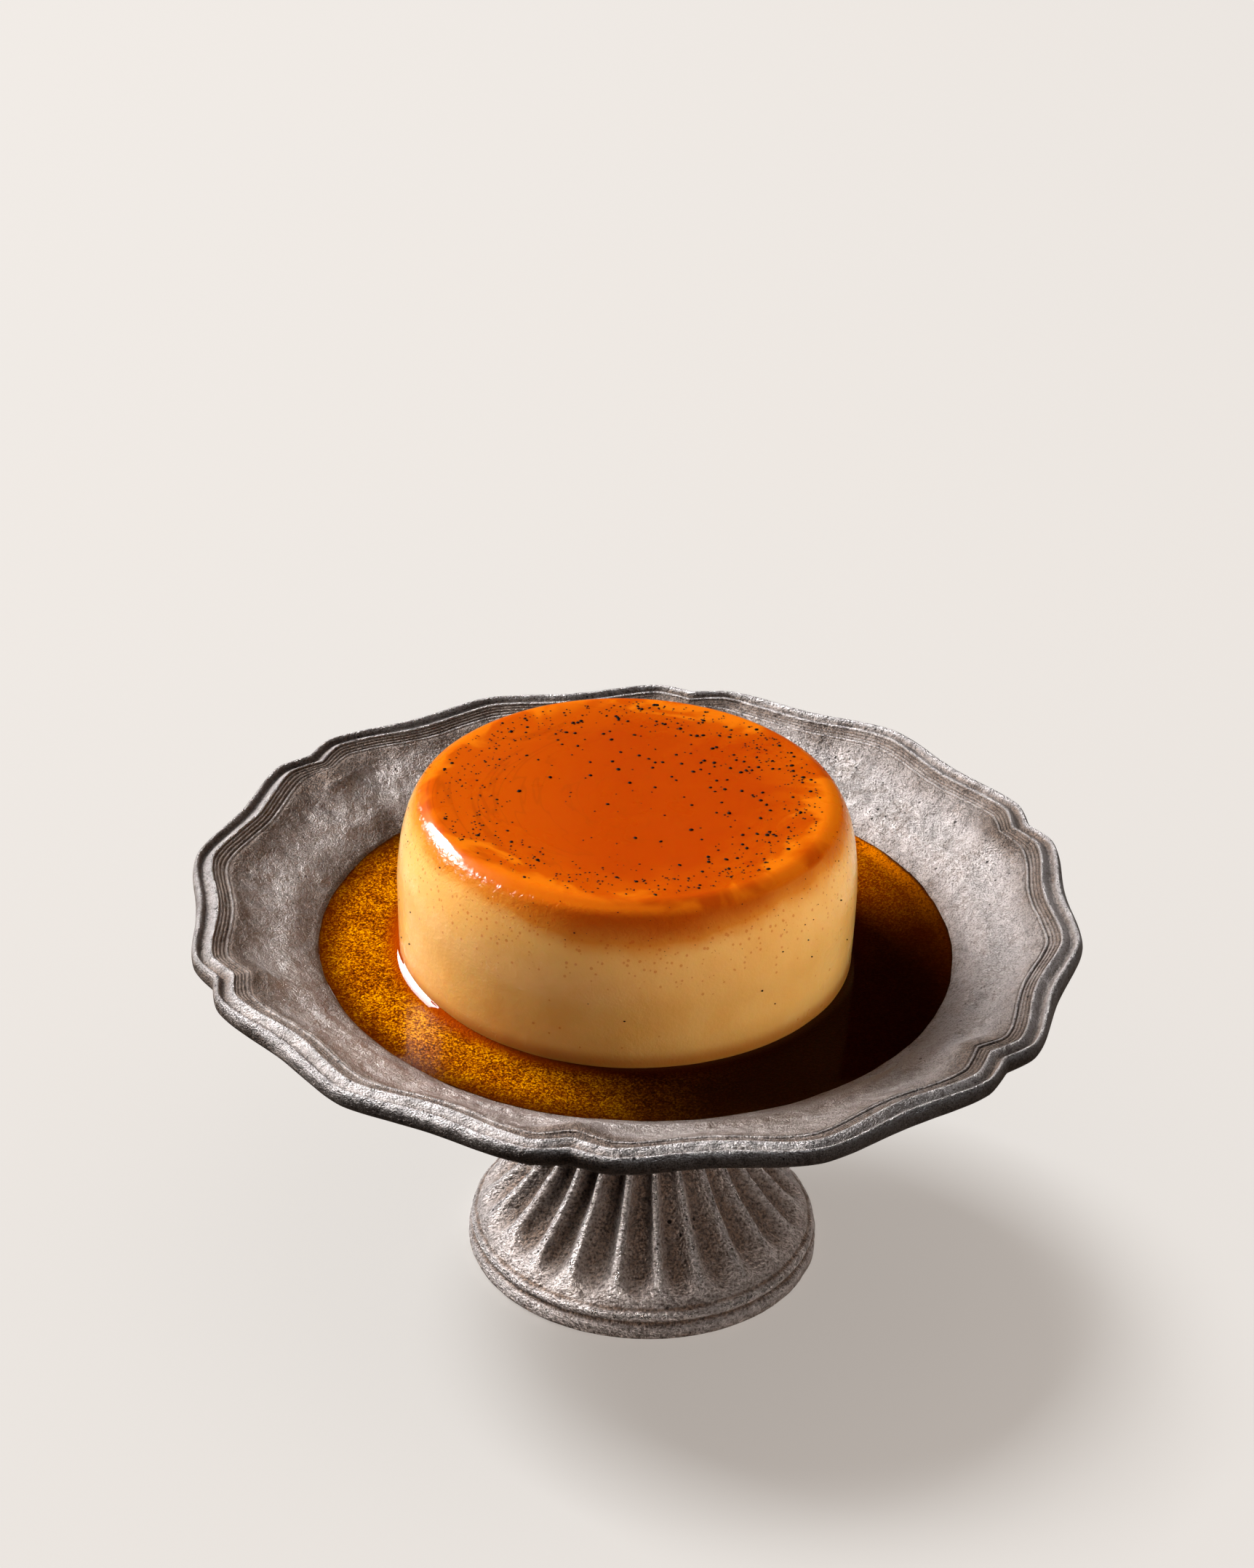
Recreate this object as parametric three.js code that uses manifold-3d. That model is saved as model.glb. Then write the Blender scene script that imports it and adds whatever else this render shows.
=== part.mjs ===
// A turned-out caramel pudding in its footed pewter dish, with caramel sauce pooled in the well.
// Millimetres, +Z up. The front is -Y, and angles run from the front towards +X.
// The origin is where the dish stands, under the middle of the whole object.

import * as THREE from 'three';
import Module from 'manifold-3d';
import { mergeVertices } from 'three/addons/utils/BufferGeometryUtils.js';

const fullTurn = Math.PI * 2;
const fitGap = 0.3; // between pieces that rest on or against each other
const columnCount = { footHollow: 36, sauce: 72, pudding: 56 };

// ---------------------------------------------------------------- driving dimensions

const rim = {
  reach: 79.9, // mean radius of the outer ridge
  level: 75.2, // height of the ridge above the table
  lobes: 6,
  firstNotch: THREE.MathUtils.degToRad(-7.2),
  shoulderTurn: THREE.MathUtils.degToRad(4.8), // from a notch's centre to the shoulder beside it
  wave: 1.3, // half the way from a lobe's hollow to its corner
  hollowBreadth: 1.6, // above 1 the corners are tighter than the hollows
  notchDepth: 1.4,
  ridgeWidth: 0.5,
  coveWidth: 3.1, // from the ridge to the inner edge
  coveDepth: 0.9,
  reedDrop: 1.25, // from the inner edge down to the fine thread
  reedWidth: 2.6,
  threadHeight: 0.3,
  edgeThickness: 3.8,
  // The hand-cast outline reaches out unevenly, at each notch and corner in turn.
  uneven: [0.5, 2.1, 0.8, -1.0, 0, 0.7, 0, -1.6, 0.4, 0.4, 0.1, -0.5],
};

const well = {
  breakRadius: 58.4, // where the lobed panels turn down into the well
  breakLevel: 66.4,
  wallRadius: 57.4, // at the sauce's level
  floorRadius: 48,
  floorLevel: 62.3,
  bottomLevel: 59.2,
};

const panel = {
  sag: 0.3, // the lobed panels are slightly hollow from the rim to the well
  creaseLift: 0.9,
  creaseTurn: THREE.MathUtils.degToRad(5.5),
  creasePeak: 0.8, // share of the way out at which the crease stands highest
  wall: 3.4,
};

const foot = {
  shiftX: 3.1, // the foot is fixed a little off the bowl's axis
  baseRadius: 33,
  bandHeight: 2.6,
  beadRadius: 32.5,
  beadLevel: 4.7,
  fluteEndLevel: 7.2,
  fluteEndRadius: 30.7,
  neckRadius: 12.4,
  neckLevel: 44,
  flare: 2.15, // power of the trumpet's curve from the neck out to the flutes' ends
  collarRadius: 19,
  flutes: 22,
  firstRidge: THREE.MathUtils.degToRad(5.5),
  fluteDepth: 1.25,
  ridgeShare: 0.16, // of a flute's pitch, taken by the narrow ridge
  fluteFadeIn: 0.5, // share of the way down at which the flutes are fully cut
  fluteRounding: 0.12, // share of the way that their round lower ends take
  castWall: 3.4,
  standWidth: 2.6, // the flat ring that the dish stands on
};

const sauce = { level: 65.8, radius: 57.1 };

const pudding = {
  shiftX: -1.9, // turned out a little off the well's middle
  baseRadius: 42.0,
  waistRadius: 41.2, // at the sauce's level
  bellyRadius: 41.6, // where the shoulder's curve leaves the side
  topLevel: 96.8,
  shoulderWidth: 6.6,
  shoulderHeight: 15.1,
  dish: 0.7, // how far the middle of the top sinks
  caramelDepth: 8.4, // from the top down to the bottom of the caramel-soaked layer
};

// ---------------------------------------------------------------- shared shapes

const wasm = await Module();
wasm.setup();

function evenColumns(count) {
  return Array.from({ length: count }, (_, column) => (column / count) * fullTurn);
}

// Rows of {r, z, ...} run from the top's middle outwards and down to the bottom's middle.
// They are lathed, and place() then gives every point its own radius and height.
function turnedSolid(rows, columns, place = (row) => row) {
  const profile = [...rows].reverse();
  const outline = profile.map((row) => new THREE.Vector2(row.r, row.z));
  const geometry = new THREE.LatheGeometry(outline, columns.length);
  const position = geometry.attributes.position;
  for (let column = 0; column <= columns.length; column += 1) {
    const angle = columns[column % columns.length];
    profile.forEach((row, index) => {
      const spot = place(row, angle);
      const x = spot.r * Math.sin(angle);
      const y = -spot.r * Math.cos(angle);
      position.setXYZ(column * profile.length + index, x, y, spot.z);
    });
  }
  geometry.deleteAttribute('normal');
  geometry.deleteAttribute('uv');
  return withoutSlivers(mergeVertices(geometry));
}

// Drops the triangles that closed up to a line at the axis.
function withoutSlivers(geometry) {
  const index = geometry.index.array;
  const kept = [];
  for (let corner = 0; corner < index.length; corner += 3) {
    const [a, b, c] = index.slice(corner, corner + 3);
    if (a !== b && b !== c && c !== a) kept.push(a, b, c);
  }
  geometry.setIndex(kept);
  return geometry;
}

function toSolid(geometry) {
  const triVerts = new Uint32Array(geometry.index.array);
  const vertProperties = new Float32Array(geometry.attributes.position.array);
  return new wasm.Manifold(new wasm.Mesh({ numProp: 3, vertProperties, triVerts }));
}

function toGeometry(solid) {
  const mesh = solid.getMesh();
  const geometry = new THREE.BufferGeometry();
  geometry.setAttribute('position', new THREE.BufferAttribute(mesh.vertProperties, 3));
  geometry.setIndex(new THREE.BufferAttribute(mesh.triVerts, 1));
  return geometry;
}

function namedMesh(name, geometry, colour, roughness, metalness) {
  const material = new THREE.MeshStandardMaterial({ color: colour, roughness, metalness });
  const mesh = new THREE.Mesh(geometry, material);
  mesh.name = name;
  return mesh;
}

const mix = (low, high, share) => low + (high - low) * share;
const easeInOut = (share) => share * share * (3 - 2 * share);
const clamp01 = (value) => Math.min(1, Math.max(0, value));

// ---------------------------------------------------------------- the bowl

const lobeTurn = fullTurn / rim.lobes;

// How far an angle lies from the notch nearest to it, from 0 at the notch to half a lobe at a corner.
function turnFromNotch(angle) {
  const turns = (angle - rim.firstNotch) / lobeTurn;
  return Math.abs(turns - Math.round(turns)) * lobeTurn;
}

// The bracket outline: a shoulder on each side of a notch, a hollow, then a rounded corner.
function lobeWave(angle) {
  const turn = turnFromNotch(angle);
  if (turn < rim.shoulderTurn) {
    return rim.wave - rim.notchDepth * (1 - turn / rim.shoulderTurn);
  }
  const share = (turn - rim.shoulderTurn) / (lobeTurn / 2 - rim.shoulderTurn);
  return rim.wave * (1 - 2 * Math.sin(Math.PI * share) ** rim.hollowBreadth);
}

function castUneven(angle) {
  const count = rim.uneven.length;
  const place = ((((angle - rim.firstNotch) / fullTurn) * count) % count + count) % count;
  const from = Math.floor(place);
  return mix(rim.uneven[from], rim.uneven[(from + 1) % count], easeInOut(place - from));
}

const outlineOffset = (angle) => lobeWave(angle) + castUneven(angle);

// Each notch runs on inwards as a soft crease between two hollow panels and dies out by the well.
function creaseLift(row, angle) {
  const spread = Math.exp(-((turnFromNotch(angle) / panel.creaseTurn) ** 2));
  return panel.creaseLift * (row.crease ?? 0) * spread;
}

const threadRadius = rim.reach - rim.coveWidth - rim.reedWidth;
const threadLevel = rim.level - rim.reedDrop;

// A point of a lobed panel, share of the way out from the well's break to the fine thread.
// follow is the share of the rim's outline that a row takes up, crease that of the notch's crease.
function panelRow(share) {
  const outer = 1 - (share - panel.creasePeak) / (1 - panel.creasePeak) / 2;
  return {
    r: mix(well.breakRadius, threadRadius - 0.5, share),
    z: mix(well.breakLevel, threadLevel - 0.15, share) - panel.sag * Math.sin(Math.PI * share),
    follow: share ** 1.6,
    crease: share < panel.creasePeak ? (share / panel.creasePeak) ** 2 : outer,
  };
}

function wellRows() {
  return [
    { r: 0, z: well.floorLevel },
    { r: well.floorRadius, z: well.floorLevel },
    { r: well.floorRadius + 5, z: well.floorLevel + 0.7 },
    { r: well.wallRadius - 1.4, z: sauce.level - 1.6 },
    { r: well.wallRadius, z: sauce.level - 0.1 },
  ];
}

// The thread, the reeded step, the inner edge, the cove and the outer ridge, from inside out.
function rimRows() {
  const edge = rim.reach - rim.coveWidth;
  const coveLevel = rim.level - rim.coveDepth;
  return [
    { r: threadRadius, z: threadLevel + rim.threadHeight, follow: 1, crease: 0.3 },
    { r: threadRadius + 0.5, z: threadLevel + 0.05, follow: 1 },
    { r: edge - 0.5, z: rim.level - 0.45, follow: 1.05 },
    { r: edge, z: rim.level - 0.05, follow: 1.1 },
    { r: edge + 0.8, z: coveLevel, follow: 1.1 },
    { r: rim.reach - 1.1, z: coveLevel, follow: 1.05 },
    { r: rim.reach - rim.ridgeWidth, z: rim.level - 0.1, follow: 1 },
    { r: rim.reach, z: rim.level, follow: 1 },
  ];
}

function undersideRows() {
  const under = rim.level - rim.edgeThickness;
  const middle = panelRow(0.65);
  return [
    { r: rim.reach + 0.7, z: rim.level - 1.0, follow: 0.9 },
    { r: rim.reach + 0.7, z: under + 0.8, follow: 0.8 },
    { r: rim.reach - 0.5, z: under, follow: 0.8 },
    { r: middle.r, z: middle.z - panel.wall, follow: 0.4 },
    { r: well.breakRadius + 1.6, z: well.breakLevel + 0.6 - panel.wall },
    { r: well.wallRadius - 2.9, z: well.bottomLevel + 1.2 },
    { r: well.floorRadius - 2, z: well.bottomLevel },
    { r: 0, z: well.bottomLevel },
  ];
}

// Columns crowd round the notches, where the outline turns fastest.
function bowlColumns() {
  const halfLobe = [0, 0.05, 0.1, 0.16, 0.25, 0.42, 0.6, 0.78, 0.91].map((share) => share * (lobeTurn / 2));
  const turns = [...halfLobe, lobeTurn / 2, ...halfLobe.slice(1).reverse().map((turn) => lobeTurn - turn)];
  const lobes = Array.from({ length: rim.lobes }, (_, lobe) => lobe);
  return lobes.flatMap((lobe) => turns.map((turn) => rim.firstNotch + lobe * lobeTurn + turn));
}

function bowl() {
  const rows = [...wellRows(), ...[0, 0.15, 0.43, 0.73, 1].map(panelRow), ...rimRows(), ...undersideRows()];
  return turnedSolid(rows, bowlColumns(), (row, angle) => ({
    r: row.r + (row.follow ?? 0) * outlineOffset(angle),
    z: row.z + creaseLift(row, angle),
  }));
}

// ---------------------------------------------------------------- the foot

// The trumpet's radius, share of the way down from the neck to the flutes' lower ends.
const trumpetRadius = (share) => mix(foot.neckRadius, foot.fluteEndRadius, share ** foot.flare);
const trumpetLevel = (share) => mix(foot.neckLevel, foot.fluteEndLevel, share);

// cut is the share of the flutes' full depth: they fade in from the neck and end in round hollows.
function trumpetRow(share) {
  const nearEnd = clamp01((share - 1 + foot.fluteRounding) / foot.fluteRounding);
  const cut = easeInOut(clamp01(share / foot.fluteFadeIn)) * Math.sqrt(1 - nearEnd ** 2);
  return { r: trumpetRadius(share), z: trumpetLevel(share), cut };
}

function footRows() {
  const top = well.bottomLevel - fitGap;
  return [
    { r: 0, z: top },
    { r: foot.collarRadius, z: top },
    { r: foot.collarRadius - 0.6, z: top - 1.7 },
    { r: mix(foot.neckRadius, foot.collarRadius, 0.33), z: mix(foot.neckLevel, top, 0.6) },
    ...[0, 0.25, 0.45, 0.62, 0.78, 0.88, 0.95, 0.985, 1].map(trumpetRow),
    { r: foot.beadRadius - 1.1, z: foot.beadLevel + 1.2 },
    { r: foot.beadRadius - 0.2, z: foot.beadLevel + 0.8 },
    { r: foot.beadRadius, z: foot.beadLevel - 0.2 },
    { r: foot.beadRadius - 0.4, z: foot.bandHeight + 0.7 },
    { r: foot.baseRadius, z: foot.bandHeight },
    { r: foot.baseRadius, z: 0 },
    { r: 0, z: 0 },
  ];
}

const fluteStops = [-1, -0.62, 0, 0.62, 1]; // across one flute, from ridge to ridge

function footColumns() {
  const pitch = fullTurn / foot.flutes;
  const halfFlute = (pitch * (1 - foot.ridgeShare)) / 2;
  const flutes = Array.from({ length: foot.flutes }, (_, flute) => flute);
  return flutes.flatMap((flute) => {
    const middle = foot.firstRidge + (flute + 0.5) * pitch;
    return fluteStops.map((stop) => middle + stop * halfFlute);
  });
}

// 0 on a ridge, 1 in the middle of a flute.
function fluteHollow(angle) {
  const turns = ((angle - foot.firstRidge) / fullTurn) * foot.flutes;
  const across = Math.abs((turns - Math.floor(turns)) * 2 - 1) / (1 - foot.ridgeShare);
  return across >= 1 ? 0 : 1 - across ** 2.2;
}

// The casting is hollow underneath, with the same trumpet shape one wall's thickness further in.
function footHollow() {
  const below = -1; // the cutter reaches past the base
  const slant = (share) => 1 + 0.6 * (1 - share); // the wall is steeper near the neck, where it is thicker
  const inside = [0.4, 0.6, 0.78, 0.92].map((share) => ({
    r: trumpetRadius(share) - foot.castWall * slant(share),
    z: trumpetLevel(share),
  }));
  const rows = [
    { r: 0, z: trumpetLevel(0.25) },
    ...inside,
    { r: foot.beadRadius - foot.castWall, z: foot.beadLevel - 0.3 },
    { r: foot.baseRadius - foot.standWidth, z: 0.8 },
    { r: foot.baseRadius - foot.standWidth, z: below },
    { r: 0, z: below },
  ];
  return turnedSolid(rows, evenColumns(columnCount.footHollow));
}

function dishFoot() {
  const outside = turnedSolid(footRows(), footColumns(), (row, angle) => ({
    r: row.r - (row.cut ?? 0) * foot.fluteDepth * fluteHollow(angle),
    z: row.z,
  }));
  const cast = toSolid(outside).subtract(toSolid(footHollow()));
  return toGeometry(cast).translate(foot.shiftX, 0, 0);
}

// ---------------------------------------------------------------- the pudding and its sauce

const caramelFloor = pudding.topLevel - pudding.caramelDepth;
const shoulderStart = pudding.topLevel - pudding.shoulderHeight;

// The moulded side stands almost upright, then leans in along an upright oval.
function sideRadius(level) {
  if (level <= sauce.level) {
    const share = clamp01((level - well.floorLevel) / (sauce.level - well.floorLevel));
    return mix(pudding.baseRadius, pudding.waistRadius, share);
  }
  if (level <= shoulderStart) {
    const share = (level - sauce.level) / (shoulderStart - sauce.level);
    return mix(pudding.waistRadius, pudding.bellyRadius, share);
  }
  const rise = clamp01((level - shoulderStart) / pudding.shoulderHeight);
  return pudding.bellyRadius - pudding.shoulderWidth * (1 - Math.sqrt(1 - rise ** 2));
}

const sideRow = (z) => ({ r: sideRadius(z), z });

function custardRows() {
  const foundation = well.floorLevel + fitGap;
  const top = caramelFloor - fitGap;
  const middle = (shoulderStart + sauce.level) / 2;
  return [
    { r: 0, z: top },
    ...[top, mix(shoulderStart, top, 0.5), shoulderStart, middle, sauce.level, foundation + 0.5].map(sideRow),
    { r: pudding.baseRadius - 0.5, z: foundation },
    { r: 0, z: foundation },
  ];
}

// The caramel-soaked top: a slightly dished face, the tight edge and the upper side.
function caramelTopRows() {
  const steps = 6;
  const firstTurn = Math.asin((caramelFloor - shoulderStart) / pudding.shoulderHeight);
  const curve = Array.from({ length: steps }, (_, step) => {
    const turn = mix(Math.PI / 2, firstTurn, step / (steps - 1));
    return sideRow(shoulderStart + pudding.shoulderHeight * Math.sin(turn));
  });
  const face = [0, 0.4, 0.75].map((share) => ({
    r: share * (pudding.bellyRadius - pudding.shoulderWidth),
    z: pudding.topLevel - pudding.dish * (1 - share ** 2),
  }));
  return [...face, ...curve, { r: 0, z: caramelFloor }];
}

// The sauce is a ring: it fills the well round the pudding up to its level.
// Its rows round the pudding sit off the bowl's axis, as the pudding does.
function saucePool() {
  const bottom = well.floorLevel + fitGap;
  const innerRadius = pudding.waistRadius + 0.7 + fitGap;
  const rows = [
    { r: sauce.radius, z: sauce.level },
    { r: well.wallRadius - 1.8, z: sauce.level - 1.5 },
    { r: well.floorRadius + 4.6, z: bottom + 0.75 },
    { r: well.floorRadius - 0.4, z: bottom },
    { r: innerRadius, z: bottom },
    { r: innerRadius - 0.4, z: sauce.level },
    { r: sauce.radius, z: sauce.level },
  ];
  const geometry = turnedSolid(rows, evenColumns(columnCount.sauce));
  const position = geometry.attributes.position;
  for (let index = 0; index < position.count; index += 1) {
    const x = position.getX(index);
    const radius = Math.hypot(x, position.getY(index));
    if (radius <= innerRadius + 0.01) position.setX(index, x + pudding.shiftX);
  }
  return geometry;
}

// ---------------------------------------------------------------- the whole object

const pewter = '#8b857f';
const puddingColumns = evenColumns(columnCount.pudding);

const group = new THREE.Group();
group.add(
  namedMesh('dish_bowl', bowl(), pewter, 0.38, 1),
  namedMesh('dish_foot', dishFoot(), pewter, 0.5, 1),
  namedMesh('caramel_sauce', saucePool(), '#8a3f05', 0.08, 0),
);

const turnedOut = new THREE.Group();
turnedOut.position.x = pudding.shiftX;
turnedOut.add(
  namedMesh('custard', turnedSolid(custardRows(), puddingColumns), '#dd9c57', 0.35, 0),
  namedMesh('caramel_top', turnedSolid(caramelTopRows(), puddingColumns), '#cc5506', 0.25, 0),
);
group.add(turnedOut);

// The uneven rim puts the middle of the whole slightly off the bowl's axis.
group.updateMatrixWorld(true);
const middle = new THREE.Box3().setFromObject(group, true).getCenter(new THREE.Vector3());
group.position.set(-middle.x, -middle.y, 0);

export default group;
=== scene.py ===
import math
import random

import bmesh
import bpy
from mathutils import Matrix, Vector, noise


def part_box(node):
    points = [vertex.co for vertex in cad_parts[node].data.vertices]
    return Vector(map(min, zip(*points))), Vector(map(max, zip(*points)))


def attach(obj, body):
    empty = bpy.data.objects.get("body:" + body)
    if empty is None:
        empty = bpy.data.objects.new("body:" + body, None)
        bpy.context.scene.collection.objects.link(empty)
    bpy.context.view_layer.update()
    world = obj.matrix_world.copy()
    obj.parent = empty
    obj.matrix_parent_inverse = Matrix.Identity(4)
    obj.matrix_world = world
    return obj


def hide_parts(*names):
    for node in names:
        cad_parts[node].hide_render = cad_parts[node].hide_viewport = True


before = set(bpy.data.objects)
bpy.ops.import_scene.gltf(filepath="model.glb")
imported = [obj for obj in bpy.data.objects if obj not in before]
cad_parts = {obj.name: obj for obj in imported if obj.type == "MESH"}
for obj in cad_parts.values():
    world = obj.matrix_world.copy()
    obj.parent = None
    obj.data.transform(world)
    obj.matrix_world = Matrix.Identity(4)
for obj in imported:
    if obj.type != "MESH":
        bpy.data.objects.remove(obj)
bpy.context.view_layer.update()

millimetre = 0.001
fullTurn = math.tau
seam = 2e-3    # points nearer than this, in millimetres, become one


def mix(low, high, share):
    return low + (high - low) * share


def clamp(value, low=0.0, high=1.0):
    return min(high, max(low, value))


def easeInOut(share):
    share = clamp(share)
    return share * share * (3 - 2 * share)


def hump(value, middle, width):
    return math.exp(-((value - middle) / width) ** 2)


def around(angle, radius):
    # x and y at an angle and a radius
    return radius * math.sin(angle), -radius * math.cos(angle)


def axisOf(node):
    low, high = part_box(node)
    return Vector(((low.x + high.x) / 2, (low.y + high.y) / 2, 0)) / millimetre


def lumps(x, y, z, size, seed):
    # soft random unevenness between about -1 and 1, with bumps about one size across
    return noise.noise(Vector((x / size + seed, y / size - seed, z / size + seed / 2)))


def layeredLumps(x, y, z, layers):
    # layers are (strength, size, seed)
    return sum(strength * lumps(x, y, z, size, seed) for strength, size, seed in layers)


def smoothRows(points, steps):
    # a smooth line through rows of numbers, with so many steps between each two
    ends = [points[0]] + list(points) + [points[-1]]
    rows = []
    for a, b, c, d in zip(ends, ends[1:], ends[2:], ends[3:]):
        for step in range(steps):
            t = step / steps
            rows.append(tuple(
                0.5 * (2 * q + (r - p) * t + (2 * p - 5 * q + 4 * r - s) * t ** 2
                       + (3 * q - p - 3 * r + s) * t ** 3)
                for p, q, r, s in zip(a, b, c, d)))
    rows.append(tuple(points[-1]))
    return rows


def spinPiece(name, rows, columns, place, rowValues):
    # rows are (radius, level, *rowValues). place(angle, radius, level, values) gives the
    # finished point and its marks, which materials read as attributes
    shape = bmesh.new()
    layers = [shape.verts.layers.float.new(key) for key in rowValues]
    line = []
    for row in rows:
        point = shape.verts.new((0, -row[0], row[1]))
        for layer, value in zip(layers, row[2:]):
            point[layer] = value
        line.append(point)
    edges = [shape.edges.new(pair) for pair in zip(line, line[1:])]
    # an eighth of the turn is spun, then doubled three times
    part = fullTurn / 8
    bmesh.ops.spin(shape, geom=line + edges, cent=(0, 0, 0), axis=(0, 0, 1), dvec=(0, 0, 0),
                   angle=part, steps=columns // 8, use_merge=False, use_normal_flip=False,
                   use_duplicate=False)
    for _ in range(3):
        copy = bmesh.ops.duplicate(shape, geom=shape.verts[:] + shape.edges[:] + shape.faces[:])
        points = [item for item in copy["geom"] if isinstance(item, bmesh.types.BMVert)]
        bmesh.ops.rotate(shape, cent=(0, 0, 0), matrix=Matrix.Rotation(part, 3, "Z"), verts=points)
        part *= 2
    bmesh.ops.remove_doubles(shape, verts=shape.verts[:], dist=seam)
    bmesh.ops.recalc_face_normals(shape, faces=shape.faces[:])
    for point in shape.verts:
        radius = math.hypot(point.co.x, point.co.y)
        angle = math.atan2(point.co.x, -point.co.y)
        values = {key: point[layer] for key, layer in zip(rowValues, layers)}
        spot, marks = place(angle, radius, point.co.z, values)
        point.co = spot
        for key, layer in zip(rowValues, layers):
            point[layer] = marks.get(key, values[key])
    return finishPiece(name, shape)


def finishPiece(name, shape):
    bmesh.ops.scale(shape, vec=(millimetre,) * 3, verts=shape.verts[:])
    mesh = bpy.data.meshes.new(name)
    shape.to_mesh(mesh)
    shape.free()
    mesh.polygons.foreach_set("use_smooth", [True] * len(mesh.polygons))
    piece = bpy.data.objects.new(name, mesh)
    bpy.context.scene.collection.objects.link(piece)
    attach(piece, "root")
    return piece


# each piece turns about the axis of its own solid
bowlAxis = axisOf("caramel_sauce")
footAxis = axisOf("dish_foot")
puddingAxis = axisOf("custard")

bowlSettings = {
    "columns": 504,
    "reach": 79.9,            # mean radius of the outer ridge
    "ridgeLevel": 75.2,
    "lobes": 6,
    "firstNotch": math.radians(-7.2),
    "shoulderTurn": math.radians(4.8),
    "wave": 1.3,
    "hollowBreadth": 1.6,
    "notchDepth": 1.9,
    "notchRounding": 0.06,
    "uneven": (0.5, 2.1, 0.8, -1.0, 0, 0.7, 0, -1.6, 0.4, 0.4, 0.1, -0.5),
    "edgeIn": 3.1,            # the inner edge of the cove, in from the ridge
    "coveDepth": 0.95,
    "threadIn": 5.8,
    "threadLevel": -1.05,     # all levels of the rim are below the ridge
    "breakRadius": 58.4,
    "breakLevel": 66.4,
    "wallRadius": 57.4,
    "floorRadius": 48.0,
    "floorLevel": 62.3,
    "bottomLevel": 59.2,
    "panelSag": 0.3,
    "foldLift": 0.6,          # a soft fold a little out from the well
    "foldRadius": 63.4,
    "foldWidth": 2.4,
    "creaseLift": 1.7,        # a crease runs in from each notch
    "creaseTurn": math.radians(5.0),
    "creasePeak": 0.8,
    "edgeThickness": 3.8,
    "panelWall": 3.4,
    "castLumps": 0.26,        # the casting's unevenness, and its layers
    "castLayers": ((1, 11, 3.1), (0.45, 4.2, 8.7)),
    "lumpsUnderneath": 0.6,
    "wander": 0.09,
    "notchTarnish": 0.45,     # dirt in the reeds beside each notch
    "notchTarnishTurn": math.radians(7),
    "leftPaintedShade": 0.34,      # painted shade with some tarnish: the panels on the left are painted browner and darker
    "leftPaintedShadeTurn": math.radians(-104),
    "leftPaintedShadeWidth": math.radians(52),
}


def turnFromNotch(angle):
    lobeTurn = fullTurn / bowlSettings["lobes"]
    turns = (angle - bowlSettings["firstNotch"]) / lobeTurn
    return abs(turns - round(turns)) * lobeTurn


def outlineOffset(angle):
    # the bracket outline, with the unevenness of a hand-cast rim
    s = bowlSettings
    turn = turnFromNotch(angle)
    lobeTurn = fullTurn / s["lobes"]
    if turn < s["shoulderTurn"]:
        share = turn / s["shoulderTurn"]
        soft = math.sqrt(share ** 2 + s["notchRounding"] ** 2) - s["notchRounding"] * (1 - share)
        wave = s["wave"] - s["notchDepth"] * (1 - clamp(soft)) ** 1.25
    else:
        share = (turn - s["shoulderTurn"]) / (lobeTurn / 2 - s["shoulderTurn"])
        wave = s["wave"] * (1 - 2 * math.sin(math.pi * share) ** s["hollowBreadth"])
    count = len(s["uneven"])
    place = (angle - s["firstNotch"]) / fullTurn * count % count
    start = int(place)
    uneven = mix(s["uneven"][start], s["uneven"][(start + 1) % count], easeInOut(place - start))
    return wave + uneven


# how far a row follows the outline, how much it takes of the creases, and its finish
bowlMarks = ("follow", "crease", "tarnish", "shine", "lumpy")


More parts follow.
